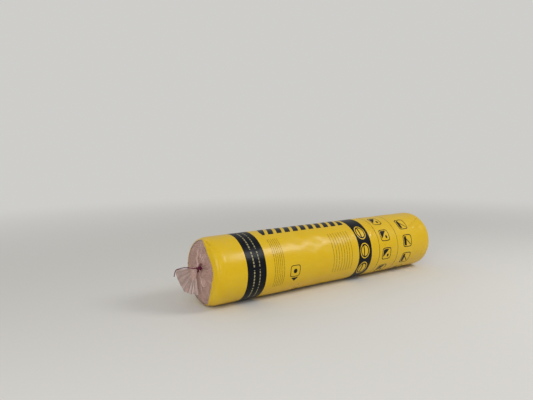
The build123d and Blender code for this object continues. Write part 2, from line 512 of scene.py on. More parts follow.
def weld_relief(y, z):
    """Height of the weld and its puckers at a place of the sealed end."""
    ends = 1 - smooth(abs(y), WELD_HALF_LENGTH - 6, WELD_HALF_LENGTH)
    height = WELD_HEIGHT * math.exp(-((z / WELD_HALF_WIDTH) ** 4)) * ends
    for place, reach, lean, tall in WELD_PUCKERS:
        off = (y - place - lean * abs(z)) / PUCKER_HALF_WIDTH
        if abs(z) < reach and abs(off) < 3:
            height += tall * math.exp(-off * off) * (1 - abs(z) / reach) ** 0.8
    return height


def wrapped(distance):
    """Distance round the roll, brought to the nearer way round."""
    return (distance + ROUND_THE_ROLL / 2) % ROUND_THE_ROLL - ROUND_THE_ROLL / 2


def fold_height(along, around):
    """Height of the single folds at a place of the film."""
    height = 0.0
    for start, start_round, end, end_round, width, tall in FOLDS:
        run, run_round = end - start, wrapped(end_round - start_round)
        a, b = along - start, wrapped(around - start_round)
        place = min(max((a * run + b * run_round) / (run**2 + run_round**2), 0.0), 1.0)
        off = math.hypot(a - place * run, b - place * run_round) / width
        if off < 3:
            height += tall * math.exp(-off * off)
    return height


def dent_height(along, around):
    """Height of the dents and the short creases at a place of the film."""
    height = 0.0
    for place, middle, reach, width, depth in DENTS:
        a = (along - place) / reach
        b = wrapped(around - middle) / width
        if a * a + b * b < 6:
            height -= depth * math.exp(-(a * a + b * b))
    for place, middle, cosine, sine, length, width, tall in CREASES:
        a = along - place
        if abs(a) > LONGEST_CREASE:
            continue
        b = wrapped(around - middle)
        lengthways = (a * cosine + b * sine) / length
        across = (b * cosine - a * sine) / width
        if abs(lengthways) < 1 and abs(across) < 4:
            height += tall * math.exp(-across * across) * (1 - lengthways**2) ** 2
    return height


# Waves of the film: length and height. The film lies a little under its smooth shape.
WAVES = [(150, 1.3), (55, 0.7), (18, 0.22)]
FILM_SINK = 1.6
RIM_HEIGHT = 3.2
RIM_PAST_EDGE = 6.0
RIM_HALF_WIDTH = 4.5
CRUMPLE = (14, 0.9)


def film_relief(along, turn):
    """Height of the film over its smooth shape at a place of the bag, in millimetres."""
    x, radius, lift, out_x, out_radius = meridian(along)
    point = Vector((x, *off_axis(radius, turn)))
    share = (GATHER_RADIUS - radius) / (GATHER_RADIUS - NECK_RADIUS) if along < 0 else -1.0
    height = sum(tall * noise.noise(point / length) for length, tall in WAVES) - FILM_SINK
    height *= 1 - 0.8 * smooth(share, 0.6, 1.0)
    around = turn * ROUND_THE_ROLL
    if along > -LONGEST_CREASE:
        height += dent_height(along, around)
    height += fold_height(along, around)
    if along > SIDE_LENGTH:
        height += weld_relief(point.y, point.z) * max(out_x, 0.0) ** 4
    if along < 10:
        rim = (along - tied_print_edge(turn) - RIM_PAST_EDGE) / RIM_HALF_WIDTH
        front = smooth(turn, 0.0, 0.03) * (1 - smooth(turn, 0.3, 0.4))
        height += RIM_HEIGHT * math.exp(-rim * rim) * front
    if share > -0.33:
        tall = min(PLEAT_HEIGHT, PLEAT_FILLING * 2 * math.pi * radius / PLEATS)
        main, small = pleats(turn, share)
        height += tall * (main + FINE_PLEAT_SHARE * small)
        length, tall = CRUMPLE
        loose = smooth(share, -0.3, 0.1) * (1 - smooth(share, 0.7, 1.0))
        height += loose * tall * noise.noise(point / length)
    return height


def film_place(along, turn):
    """Point of the bag's film at a distance along and a turn round, from the top to the front."""
    x, radius, lift, out_x, out_radius = meridian(along)
    height = film_relief(along, turn)
    y, z = off_axis(radius + out_radius * height, turn)
    y -= lift * NECK_SWAY / NECK_LIFT
    return x + out_x * height, y, max(AXIS_HEIGHT + lift + z, 0.0)


def tied_print_edge(turn):
    """Distance along the film at which the print stops on the tied end."""
    angle = 2 * math.pi * turn
    point = Vector((math.cos(angle), math.sin(angle), 0))
    return table_value(TIED_EDGE_ALONG, turn % 1) + 1.5 * noise.noise(point * 3)


def sealed_print_edge(turn):
    """Distance along the film at which the print stops on the sealed end."""
    angle = 2 * math.pi * turn
    point = Vector((math.cos(angle), math.sin(angle), 5))
    return SEALED_PRINT_ALONG + 3.0 * noise.noise(point * 1.5) + 1.0 * noise.noise(point * 6)


def body_stations():
    """Distances along the film at which the printed part has a ring."""
    tied = [TIED_PRINT_ALONG * (1 - step / TIED_RINGS) for step in range(TIED_RINGS)]
    side = [SIDE_LENGTH * step / SIDE_RINGS for step in range(SIDE_RINGS)]
    rest = SEALED_PRINT_ALONG - SIDE_LENGTH
    return tied + side + [SIDE_LENGTH + rest * step / SEALED_RINGS for step in range(SEALED_RINGS + 1)]


BODY_STATIONS = body_stations()


def body_along(turn, station):
    """Distance along the film of a ring, drawn to the print's uneven edges at both ends."""
    along = BODY_STATIONS[station]
    if along < 0:
        return tied_print_edge(turn) * along / TIED_PRINT_ALONG
    if along > SIDE_LENGTH:
        share = (along - SIDE_LENGTH) / (SEALED_PRINT_ALONG - SIDE_LENGTH)
        return SIDE_LENGTH + (sealed_print_edge(turn) - SIDE_LENGTH) * share
    return along


def body_place(turn, station):
    """Point of the printed part."""
    return film_place(body_along(turn, station), turn)


PRINT_START_X = -412.0
STRIP_ANGLE = math.radians(87)


def body_map(turn, station):
    """Print's own map: distance along from its first band, and round from its strip."""
    along = body_along(turn % 1, station) + TIED_SIDE_X - PRINT_START_X
    angle = math.pi / 2 - 2 * math.pi * turn
    return along, (STRIP_ANGLE - angle) * ROLL_RADIUS


FILM_YELLOW = "#E6C009"
FILM_AMBER = "#D8AD05"
FILM_DUST = "#CDB663"
INK_BLACK = "#06080C"
INK_BLUE = "#0D131B"
INK_PALE = "#9E9670"
# Soft patches of thicker film 110 mm across, crinkles 13 mm apart, and dust, which is too
# fine to show and is drawn in specks of 7 mm.
FILM_PATCHES_PER_M = 9.0
FILM_CRINKLES_PER_M = 75.0
DUST_SPECKS_PER_M = 140.0
# Print, in millimetres along the bag from the first band, and round it from the strip of
# bars on top. It is laid twice round the bag, a panel each.
PANEL = ROUND_THE_ROLL / 2
FRONT_START = 10.0
FIRST_BAND = (-3.5, 81.5)
SECOND_BAND = (575, 654)
PALE_ROWS = [(24, 29.5), (50, 54)]
THIN_LINES = [(702, 704.2), (824, 826.2)]
BARS_ALONG = (120, 560)
BARS_ROUND = (-44, 44)
BAR_START = 126
BAR_PITCH = 42
BAR_WIDTH = 26
BAR_SLANT = 0.45
# Blocks of ruled rows: first and last row, pitch, width, top, bottom, length of a word.
# Each row's words start further down than those of the row before.
RULED_BLOCKS = [(120, 173, 9.0, 2.6, 74, 283, 31), (425, 539, 15.0, 3.0, 86, 267, 43)]
RULED_STRENGTH = 0.62
ROW_SHIFT = 13
MARK_CENTRE = (222, 224)
WEDGE_MIDDLE = 224
WEDGE_DOWN = (253, 271)
WEDGE_FLANKS = (242, 271)
# Ovals in the second band and squares past it, one below the other at the same pitch.
BADGE_PITCH = 87
OVAL_ALONG = 612
OVAL_TOP = 104
# Columns of squares: centre along, half size, centre of the first, and sort.
SQUARES = [(751, 28.5, 48, "slope"), (895, 30, 91, "column")]
SQUARENESS = 5


def printed_film():
    """Blown polythene film, flexographic print: glossy and a little wavy, the ink duller."""
    material, tree, shader = new_material("printed_polythene_film")

    def within(value, limits):
        """Mask of where a value lies between two limits."""
        low, high = limits
        return add_node(tree, "COMPARE", (value, (low + high) / 2, (high - low) / 2))

    def both(first, *others):
        """Mask of what all the masks share."""
        for other in others:
            first = add_node(tree, "MULTIPLY", (first, other))
        return first

    def either(first, *others):
        """Mask of what any of the masks holds."""
        for other in others:
            first = add_node(tree, "MAXIMUM", (first, other))
        return first

    def outside(mask):
        """Mask of what a mask leaves out."""
        return add_node(tree, "SUBTRACT", (1.0, mask))

    def repeated(value, start, pitch):
        """Distance past the last of a row of marks."""
        shifted = add_node(tree, "SUBTRACT", (value, start))
        return add_node(tree, "FLOORED_MODULO", (shifted, pitch))

    def in_row(value, first, pitch):
        """Distance from the nearest middle of a row of marks."""
        return add_node(tree, "SUBTRACT", (repeated(value, first - pitch / 2, pitch), pitch / 2))

    def rounded(point, centre, sizes, power=2):
        """Distance from a centre: 1 on an ellipse, or on a rounded square with SQUARENESS."""
        parts = []
        for value, middle, size in zip(point, centre, sizes):
            part = add_node(tree, "SUBTRACT", (value, middle))
            part = add_node(tree, "ABSOLUTE", (add_node(tree, "DIVIDE", (part, size)),))
            parts.append(add_node(tree, "POWER", (part, power)))
        return add_node(tree, "POWER", (add_node(tree, "ADD", parts), 1 / power))

    own_map = add_node(tree, "ShaderNodeUVMap", uv_map="map")
    in_mm = add_node(tree, "ShaderNodeVectorMath", {0: own_map, "Scale": 1000.0}, operation="SCALE")
    along = add_node(tree, "ShaderNodeSeparateXYZ", (in_mm,), "X")
    around = add_node(tree, "ShaderNodeSeparateXYZ", (in_mm,), "Y")
    from_strip = in_row(around, 0, PANEL)
    down = add_node(tree, "ADD", (repeated(around, FRONT_START, PANEL), FRONT_START))

    words = within(repeated(down, 0, 13), (2.5, 11.5))
    words = both(words, outside(within(repeated(down, 5, 74), (30, 38))))
    pale = both(either(*[within(along, row) for row in PALE_ROWS]), words)

    slant = add_node(tree, "MULTIPLY_ADD", (from_strip, BAR_SLANT, along))
    bars = within(repeated(slant, BAR_START, BAR_PITCH), (0, BAR_WIDTH))
    bars = both(bars, within(from_strip, BARS_ROUND), within(along, BARS_ALONG))
    ink = either(bars, *[within(along, line) for line in (FIRST_BAND, *THIN_LINES)])

    for first, last, pitch, width, top, bottom, word in RULED_BLOCKS:
        row = add_node(tree, "SUBTRACT", (along, first))
        row = add_node(tree, "FLOOR", (add_node(tree, "DIVIDE", (row, pitch)),))
        stagger = add_node(tree, "MULTIPLY_ADD", (row, ROW_SHIFT, down))
        ruled = both(
            within(along, (first, last)),
            within(repeated(along, first, pitch), (1.0, 1.0 + width)),
            within(down, (top, bottom)),
            outside(within(repeated(stagger, 0, word), (0, 1.6))),
            outside(within(repeated(stagger, 7, word * 2.7), (0, 2.6))),
            RULED_STRENGTH,
        )
        ink = either(ink, ruled)

    edge_line = within(rounded((along, down), MARK_CENTRE, (25, 25), SQUARENESS), (0.88, 1))
    dot = within(rounded((along, down), MARK_CENTRE, (9, 10)), (0, 1))
    flank = add_node(tree, "SUBTRACT", (along, WEDGE_MIDDLE))
    flank = add_node(tree, "ADD", (add_node(tree, "ABSOLUTE", (flank,)), down))
    wedge = both(within(down, WEDGE_DOWN), within(flank, WEDGE_FLANKS))
    ink = either(ink, edge_line, dot, wedge)

    oval = rounded((along, in_row(down, OVAL_TOP, BADGE_PITCH)), (OVAL_ALONG, 0), (28, 35.5))
    notch = within(along, (OVAL_ALONG - 7, OVAL_ALONG - 1))
    badge = either(within(oval, (0.86, 1)), both(within(oval, (0, 0.68)), outside(notch)))
    badge = both(badge, within(down, (OVAL_TOP - BADGE_PITCH / 2, OVAL_TOP + 2.5 * BADGE_PITCH)))
    ink = either(ink, both(within(along, SECOND_BAND), outside(badge)))

    for centre, half, first, sort in SQUARES:
        point = (along, in_row(down, first, BADGE_PITCH))
        reach = rounded(point, (centre, 0), (half, half), SQUARENESS)
        if sort == "slope":
            fill = within(add_node(tree, "ADD", point), (centre - 60, centre - 6))
            spot = within(rounded(point, (centre + 8, 9), (6, 8)), (0, 1))
        else:
            fill = within(along, (centre - 30, centre - 7))
            spot = within(add_node(tree, "SUBTRACT", point), (centre - 3, centre + 3))
        square = either(within(reach, (0.87, 1)), both(within(reach, (0, 0.76)), either(fill, spot)))
        column = within(down, (first - BADGE_PITCH / 2, first + 3.5 * BADGE_PITCH))
        ink = either(ink, both(square, column))

    place = add_node(tree, "ShaderNodeTexCoord", give="Object")
    pattern = {"Vector": place, "Scale": FILM_PATCHES_PER_M, "Detail": 5.0, "Roughness": 0.6}
    patches = add_node(tree, "ShaderNodeTexNoise", pattern)
    pattern = {"Vector": place, "Scale": DUST_SPECKS_PER_M, "Detail": 4.0, "Roughness": 0.65}
    grain = add_node(tree, "ShaderNodeTexNoise", pattern)
    dust = add_node(tree, "ShaderNodeMapRange", (both(patches, grain), 0.24, 0.5, 0.0, 0.28))
    tones = {0: grain, 6: linear(INK_BLACK), 7: linear(INK_BLUE)}
    black = add_node(tree, "ShaderNodeMix", tones, 2, data_type="RGBA")
    colour = linear(FILM_AMBER)
    coats = [
        (patches, linear(FILM_YELLOW)),
        (dust, linear(FILM_DUST)),
        (ink, black),
        (pale, linear(INK_PALE)),
    ]
    for share, coat in coats:
        tones = {0: share, 6: colour, 7: coat}
        colour = add_node(tree, "ShaderNodeMix", tones, 2, data_type="RGBA")
    gloss = add_node(tree, "ShaderNodeMapRange", (patches, 0.3, 0.7, 0.25, 0.38))
    shine = add_node(tree, "ShaderNodeMapRange", (ink, 0.0, 1.0, 0.36, 0.14))
    pattern = {"Vector": place, "Scale": FILM_CRINKLES_PER_M, "Detail": 3.0, "Distortion": 0.8}
    crinkle = add_node(tree, "ShaderNodeTexNoise", pattern)
    bump = add_node(tree, "ShaderNodeBump", {"Height": crinkle, "Strength": 0.5, "Distance": 0.0009})
    fill_inputs(shader, {"Base Color": colour, "Roughness": gloss, "Normal": bump})
    fill_inputs(shader, {"Specular IOR Level": shine, "IOR": 1.51})
    return material


body = skin("bag_printed_film", BODY_CORNERS, len(BODY_STATIONS), body_place, body_map)
body.data.materials.append(printed_film())
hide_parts("film_bag")
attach(body, "root")

# Film bag, sealed end: the same film without print, clear and a little milky, flat over
# the end of the blanket. A weld across its middle closes the bag and puckers the film.
DISC_CORNERS = 480
DISC_RINGS = 90
POLE_GAP = 0.5
WELD_WHITENESS = 0.36
WHITEST_WELD = 0.42
CLEAR_FILM = "#DFBBB1"
# Whiteness of creased film, also a painted highlight on the ridges of pleats and folds.
CLEAR_FILM_CREASE_AND_SHEEN = "#F4E6E0"
# Clouds of haze 22 mm across and crinkles 6 mm apart.
HAZE_CLOUDS_PER_M = 45.0
CLEAR_CRINKLES_PER_M = 160.0
HAZE_IN_OPACITY = 0.3
CREASE_IN_OPACITY = 0.35


def disc_along(turn, station):
    """Distance along the film, from the print's edge to the middle of the end."""
    edge = sealed_print_edge(turn)
    return edge + (FAR_MIDDLE_ALONG - POLE_GAP - edge) * station / (DISC_RINGS - 1)


def disc_place(turn, station):
    """Point of the sealed end."""
    return film_place(disc_along(turn, station), turn)


def disc_map(turn, station):
    """Distance along and round the film."""
    return disc_along(turn % 1, station), turn * ROUND_THE_ROLL


def disc_crease(turn, station):
    """Whiteness of the film along the weld and its puckers, from 0 to 1."""
    radius = meridian(disc_along(turn, station))[1]
    return min(WELD_WHITENESS * abs(weld_relief(*off_axis(radius, turn))), WHITEST_WELD)


def clear_film(name, single, doubled):
    """Blown polythene film, natural: clear with a milky haze, whiter along its creases, partly a painted
    highlight.

    single and doubled give the distance along the film, the opacity and the colour where
    the film is one layer, and where its layers lie on each other.
    """
    material, tree, shader = new_material(name)
    own_map = add_node(tree, "ShaderNodeUVMap", uv_map="map")
    along = add_node(tree, "ShaderNodeSeparateXYZ", (own_map,), "X")
    place = add_node(tree, "ShaderNodeTexCoord", give="Object")
    crease_and_sheen = add_node(tree, "ShaderNodeAttribute", give="Fac", attribute_name="crease_and_sheen")
    pattern = {"Vector": place, "Scale": HAZE_CLOUDS_PER_M, "Detail": 5.0, "Roughness": 0.62}
    haze = add_node(tree, "ShaderNodeTexNoise", pattern)
    (start, low, thin_colour), (end, high, thick_colour) = single, doubled
    layered = add_node(tree, "ShaderNodeMapRange", (along, start * MM, end * MM))
    tones = {0: layered, 6: linear(thin_colour), 7: linear(thick_colour)}
    tint = add_node(tree, "ShaderNodeMix", tones, 2, data_type="RGBA")
    cloud = add_node(tree, "ShaderNodeMapRange", (haze, 0.3, 0.7, 0.78, 1.22))
    hazy = add_node(tree, "ShaderNodeVectorMath", {0: tint, "Scale": cloud}, operation="SCALE")
    # Whiter by the attribute: creased film, with a painted highlight on pleat and fold ridges.
    tones = {0: crease_and_sheen, 6: hazy, 7: linear(CLEAR_FILM_CREASE_AND_SHEEN)}
    colour = add_node(tree, "ShaderNodeMix", tones, 2, data_type="RGBA")
    limits = (low - HAZE_IN_OPACITY / 2, high - HAZE_IN_OPACITY / 2)
    opacity = add_node(tree, "ShaderNodeMapRange", (layered, 0.0, 1.0, *limits))
    opacity = add_node(tree, "MULTIPLY_ADD", (haze, HAZE_IN_OPACITY, opacity))
    opacity = add_node(tree, "MULTIPLY_ADD", (crease_and_sheen, CREASE_IN_OPACITY, opacity))
    pattern = {"Vector": place, "Scale": CLEAR_CRINKLES_PER_M, "Detail": 4.0, "Distortion": 1.2}
    crinkle = add_node(tree, "ShaderNodeTexNoise", pattern)
    bump = add_node(tree, "ShaderNodeBump", {"Height": crinkle, "Strength": 0.6, "Distance": 0.0008})
    fill_inputs(shader, {"Base Color": colour, "Alpha": opacity, "Normal": bump})
    fill_inputs(shader, {"Roughness": 0.24, "IOR": 1.51})
    return material


disc = skin(
    "bag_sealed_end",
    DISC_CORNERS,
    DISC_RINGS,
    disc_place,
    disc_map,
    pole=True,
    crease_and_sheen_of=disc_crease,
)
disc_film = clear_film("clear_polythene_film", (0, 0.36, CLEAR_FILM), (1, 0.36, CLEAR_FILM))
disc.data.materials.append(disc_film)
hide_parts("film_bag")
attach(disc, "root")

# Film bag, tied end: the clear film goes on past the print, drawn in by hand to a neck in
# some thirty pleats that lie over each other. Past the tie, both layers hang down as one
# flat fan of pleats, cut off straight by the bag machine.
TAIL_CORNERS = 720
GATHER_RINGS = 46
NECK_RINGS = 14
FAN_RINGS = 40
FAN_RING_POWER = 1.25
NECK_LENGTH = 12.0
NECK_WALL = 0.6
WAIST_RADIUS = 6.6
WAIST_REACH = 4.0
NECK_Y = -NECK_SWAY
NECK_Z = AXIS_HEIGHT + NECK_LIFT
NECK_END_X = TIED_PLANE - NECK_RISE - NECK_LENGTH
FAN_LENGTH = 95.0
FAN_TILT = 43.0
FAN_HALF_SPREAD = 52.0
FAN_HALF_THICKNESS = 1.1
FAN_ROOT_REACH = 13.0
FAN_ROOT_FOLD = 9.0
FAN_ROOT_FOLD_PLACE = 5.0
# A pleat of this width across the fan stands this high; a wider one is higher.
FAN_FOLD_WIDTH = 0.2
FAN_FOLD = 5.0
FAN_FOLD_LIMIT = 6.0
FAN_BOW = 7.0
FAN_SWING = 9.0
FAN_SHARP_FOLD = 2.4
FAN_FILM = "#B99F98"
FAN_FOLD_EDGES = [
    -1.0, -0.88, -0.8, -0.64, -0.56, -0.46, -0.37, -0.22, -0.08, 0.1, 0.3, 0.47, 0.72, 0.88, 1.0
]
FAN_FOLD_HEIGHTS = [1.0, -1.1, 1.3, -1.0, 0.8, -0.4, 0.4, -0.25, 0.2, -0.25, 0.2, -0.2, 0.25, -0.2]
# Sharp creases of the fan: place across, start and end as shares of its length, half
# width, and whiteness, which is partly creased film and partly a painted highlight.
FAN_CREASES = [
    (-0.91, 0.15, 1.1, 0.032, 0.85),
    (-0.71, 0.45, 1.0, 0.03, 0.8),
    (-0.84, 0.3, 0.9, 0.022, 0.4),
    (-0.52, 0.3, 1.05, 0.025, 0.3),
    (-0.16, 0.5, 1.05, 0.02, 0.25),
    (0.34, 0.2, 0.9, 0.02, 0.2),
    (0.93, 0.05, 1.05, 0.05, 0.35),
]
# Reach of the fan past the neck, in each direction in degrees below the level.
FAN_EDGE = [
    (-9, 77), (-2, 79), (13, 75), (30, 74), (46, 78), (57, 86.5), (65, 87.5), (82, 88.5), (95, 94),
]


def fan_crease(across, share):
    """Whiteness of the fan's sharp creases, partly creased film and partly a painted highlight."""
    white = 0.0
    for place, start, end, width, strength in FAN_CREASES:
        drift = 0.03 * noise.noise(Vector((share * 3, place * 9, 2)))
        off = (across - place - drift) / width
        ends = smooth(share, start - 0.1, start + 0.1) * (1 - smooth(share, end - 0.1, end + 0.1))
        white += strength * math.exp(-off * off) * ends
    return white


def fan_fold(across, distance):
    """Sideways height of the fan's pleats, the same for its two layers."""
    share = distance / FAN_LENGTH
    sharp = -FAN_SHARP_FOLD * fan_crease(across, share)
    across = min(max(across + 0.02 * noise.noise(Vector((across * 4, share * 2, 0))), -1.0), 1.0)
    cell = min(bisect.bisect_right(FAN_FOLD_EDGES, across), len(FAN_FOLD_EDGES) - 1) - 1
    low, high = FAN_FOLD_EDGES[cell], FAN_FOLD_EDGES[cell + 1]
    phase = (across - low) / (high - low)
    crest = 1 - abs(2 * phase - 1)
    tall = FAN_FOLD * (0.15 + 0.85 * share**0.8) * (high - low) / FAN_FOLD_WIDTH
    tall = min(tall, FAN_FOLD_LIMIT) * crest**0.85
    bow = FAN_BOW * math.sin(math.pi * share * 0.8) * (1 - across * across)
    bow += FAN_SWING * share * min(across, 0)
    return FAN_FOLD_HEIGHTS[cell] * tall + bow + sharp


def fan_reach(direction):
    """Length of the fan past the neck in a direction, with its ragged cut."""
    ragged = 1.4 * noise.noise(Vector((direction / 9, 7, 0)))
    ragged += 0.9 * noise.noise(Vector((direction / 2.5, 3, 0)))
    return table_value(FAN_EDGE, direction) + ragged


def fan_across(turn):
    """Place across the flattened fan at a turn: 1 on top, -1 at the bottom."""
    return 1 - 4 * turn if turn < 0.5 else 4 * turn - 3


def tail_place(reach, turn):
    """Point of the neck and the fan: reach 0 to 1 along the neck, 1 to 2 along the fan."""
    flute = pleat_height(MAIN_PLEATS, turn, 1.0) + 0.3 * pleat_height(SMALL_PLEATS, turn, 1.0)
    if reach <= 1:
        distance = reach * NECK_LENGTH
        drawn = math.exp(-(((distance - NECK_LENGTH / 2) / WAIST_REACH) ** 4))
        radius = NECK_RADIUS - NECK_WALL - (NECK_RADIUS - WAIST_RADIUS) * drawn
        y, z = off_axis(radius + flute * (1.3 - drawn), turn)
        return Vector((NECK_END_X + NECK_LENGTH - distance, NECK_Y + y, NECK_Z + z))
    share = reach - 1
    side = -1 if turn < 0.5 else 1
    flat = smooth(share, 0.0, 0.3)
    across = off_axis(1, turn)[1]
    across += (fan_across(turn) - across) * flat
    degrees = FAN_TILT - FAN_HALF_SPREAD * across
    distance = share * fan_reach(degrees)
    direction = math.radians(degrees)
    thick = FAN_HALF_THICKNESS + (NECK_RADIUS - FAN_HALF_THICKNESS) * math.exp(-distance / FAN_ROOT_REACH)
    if side < 0:
        root = distance / FAN_ROOT_FOLD_PLACE
        thick += FAN_ROOT_FOLD * root * math.exp(1 - root) * smooth(0.4 - across, 0.0, 0.6)
    closure = math.sqrt(max(1 - across * across, 0.0))
    y = NECK_Y + side * (thick + 0.5 * flute * (1 - flat)) * closure
    y += flat * fan_fold(across, distance)
    y += flat * 0.5 * noise.noise(Vector((distance / 11, across * 9, side)))
    root_width = (NECK_RADIUS + 0.7 * flute) * (1 - 0.88 * share)
    z = NECK_Z + root_width * across - math.sin(direction) * distance
    return Vector((NECK_END_X - math.cos(direction) * distance, y, z))


def fan_share(step):
    """Share of the fan's length at a ring past the neck, close together at its root."""
    return (step / FAN_RINGS) ** FAN_RING_POWER


def gather_along(turn, station):
    """Distance along the film of a ring between the print's edge and the neck."""
    edge = tied_print_edge(turn)
    return edge + (NECK_ALONG - edge) * station / (GATHER_RINGS - 1)


def tied_end_place(turn, station):
    """Point of the clear film on the tied end: gather, then neck, then fan."""
    if station < GATHER_RINGS:
        return film_place(gather_along(turn, station), turn)
    step = station - GATHER_RINGS + 1
    if step <= NECK_RINGS:
        reach = step / NECK_RINGS
        start = Vector(film_place(NECK_ALONG, turn)) + Vector((-reach * NECK_LENGTH, 0, 0))
        return start.lerp(tail_place(reach, turn), smooth(reach, 0.0, 0.35))
    return tail_place(1 + fan_share(step - NECK_RINGS), turn)


def tied_end_map(turn, station):
    """Distance from the print's edge, and round the bag."""
    around = turn * ROUND_THE_ROLL
    gather = abs(NECK_ALONG - TIED_PRINT_ALONG)
    if station < GATHER_RINGS:
        return gather * station / (GATHER_RINGS - 1), around
    step = station - GATHER_RINGS + 1
    if step <= NECK_RINGS:
        return gather + NECK_LENGTH * step / NECK_RINGS, around
    return gather + NECK_LENGTH + FAN_LENGTH * (step - NECK_RINGS) / FAN_RINGS, around


def tied_end_crease_and_sheen(turn, station):
    """Whiteness of the film along its pleats and creases, from 0 to 1, partly a painted highlight on their
    ridges.
    """
    if station < GATHER_RINGS:
        along = gather_along(turn, station)
        share = (GATHER_RADIUS - meridian(along)[1]) / (GATHER_RADIUS - NECK_RADIUS)
        main, small = pleats(turn, share)
        single = max(fold_height(along, turn * ROUND_THE_ROLL), 0.0) / 3
        return min(0.45 * main**2 + 0.4 * small**2 + 0.5 * single**2, 1.0)
    step = station - GATHER_RINGS + 1 - NECK_RINGS
    if step <= 0:
        return 0.5 * pleats(turn, 1.0)[0]
    return min(fan_crease(fan_across(turn), fan_share(step)), 1.0)


tied_end = skin(
    "bag_tied_end",
    TAIL_CORNERS,
    GATHER_RINGS + NECK_RINGS + FAN_RINGS,
    tied_end_place,
    tied_end_map,
    crease_and_sheen_of=tied_end_crease_and_sheen,
)
gathered_film = clear_film(
    "clear_polythene_film_gathered", (110, 0.42, CLEAR_FILM), (150, 0.78, FAN_FILM)
)
tied_end.data.materials.append(gathered_film)
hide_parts("film_bag")
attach(tied_end, "root")

# Tie: one piece of magenta polypropylene twine, three twisted strands, taken twice round
# the neck, drawn tight and tied off on the front in three knots, two small loops standing.
TWINE_RADIUS = 1.75
STRANDS = 3
STRAND_RADIUS = 0.81
STRAND_OFFSET = 0.94
TWIST_PITCH = 12.0
TWINE_CORNERS = 24
TWINE_STEP = 0.8
CUT_END_SHARE = 0.6
RING_SEAT_RADIUS = 7.0
RING_CLEARANCE = 0.2
RING_RADIUS = RING_SEAT_RADIUS + RING_CLEARANCE + TWINE_RADIUS
RING_HALF_PITCH = 1.65
RING_STEPS = 96
RING_START = math.radians(35)
RING_WOBBLE = 0.12
WAIST_X = -561.0
KNOT_PLACE = Vector((-561.5, -17.5, 154.6))
SECOND_KNOT = Vector((-562.0, -26.0, 158.6))
THIRD_KNOT = SECOND_KNOT + Vector((0.5, -8.5, -1.0))
KNOT_STEPS = 90
KNOT_RUN = 0.985
KNOT_DEPTH = 1.6
STUB_END = Vector((-570.36, -16.46, 156.15))
# Loop of twine: sideways in millimetres, rise as a share of its length, and forward.
LOOP_SHAPE = [
    (0.8, -0.04, 0.0), (1.4, 0.11, 0.3), (2.2, 0.37, 1.0), (2.6, 0.66, 0.5),
    (2.2, 0.92, -0.6), (-0.2, 1.0, -1.2), (-2.3, 0.86, -1.0), (-2.3, 0.58, -0.3),
    (-1.7, 0.28, 0.3), (-1.2, 0.07, 0.2), (-1.1, -0.04, 0.0),
]
TWINE_MAGENTA = "#7C1044"
TWINE_DARK = "#3A0A22"
# Split fibres 4.5 mm long and 0.4 mm wide.
FIBRES_PER_M = (220.0, 2600.0, 1.0)


def curve_points(name, corners):
    """Points of a smooth NURBS line through the run of a piece of twine, in millimetres."""
    data = bpy.data.curves.new(name, "CURVE")
    data.dimensions = "3D"
    data.resolution_u = 24
    spline = data.splines.new("NURBS")
    spline.points.add(len(corners) - 1)
    for point, corner in zip(spline.points, corners):
        point.co = (*(Vector(corner) * MM), 1)
    spline.order_u = 3
    spline.use_endpoint_u = True
    holder = bpy.data.objects.new(name, data)
    bpy.context.scene.collection.objects.link(holder)
    bpy.context.view_layer.update()
    mesh = bpy.data.meshes.new_from_object(holder)
    points = [vert.co / MM for vert in mesh.vertices]
    bpy.data.objects.remove(holder)
    bpy.data.curves.remove(data)
    bpy.data.meshes.remove(mesh)
    return points


def even_steps(points, step):
    """The same line in even steps."""
    along = [0.0]
    for before, after in zip(points, points[1:]):
        along.append(along[-1] + (after - before).length)
    count = max(int(along[-1] / step), 2)
    line = []
    for index in range(count + 1):
        distance = along[-1] * index / count
        row = min(max(bisect.bisect_right(along, distance), 1), len(points) - 1)
        share = (distance - along[row - 1]) / max(along[row] - along[row - 1], 1e-9)
        line.append(points[row - 1].lerp(points[row], share))
    return line


def twine(name, points):
    """Length of twisted twine along a line, closed at both ends."""
    line = even_steps(points, TWINE_STEP)
    frames = []
    tangent = (line[1] - line[0]).normalized()
    normal = tangent.orthogonal().normalized()
    for index in range(len(line)):
        ahead = line[min(index + 1, len(line) - 1)]
        behind = line[max(index - 1, 0)]
        tangent = (ahead - behind).normalized()
        normal = (normal - tangent * normal.dot(tangent)).normalized()
        frames.append((normal, tangent.cross(normal)))
    step = (line[1] - line[0]).length

    def twine_place(turn, station):
        """Point of the twisted strands."""
        normal, side = frames[station]
        angle = 2 * math.pi * turn
        twist = 2 * math.pi * station * step / TWIST_PITCH
        sector = 2 * math.pi / STRANDS
        offset = (angle - twist) % sector - sector / 2
        reach = STRAND_OFFSET * math.cos(offset)
        reach += math.sqrt(max(STRAND_RADIUS**2 - (STRAND_OFFSET * math.sin(offset)) ** 2, 0.0))
        if station in (0, len(line) - 1):
            reach *= CUT_END_SHARE
        return line[station] + reach * (math.cos(angle) * normal + math.sin(angle) * side)

    def twine_map(turn, station):
        """Distance along and round the twine."""
        return station * step, turn * 2 * math.pi * TWINE_RADIUS

    return skin(name, TWINE_CORNERS, len(line), twine_place, twine_map, close=bmesh.ops.holes_fill)


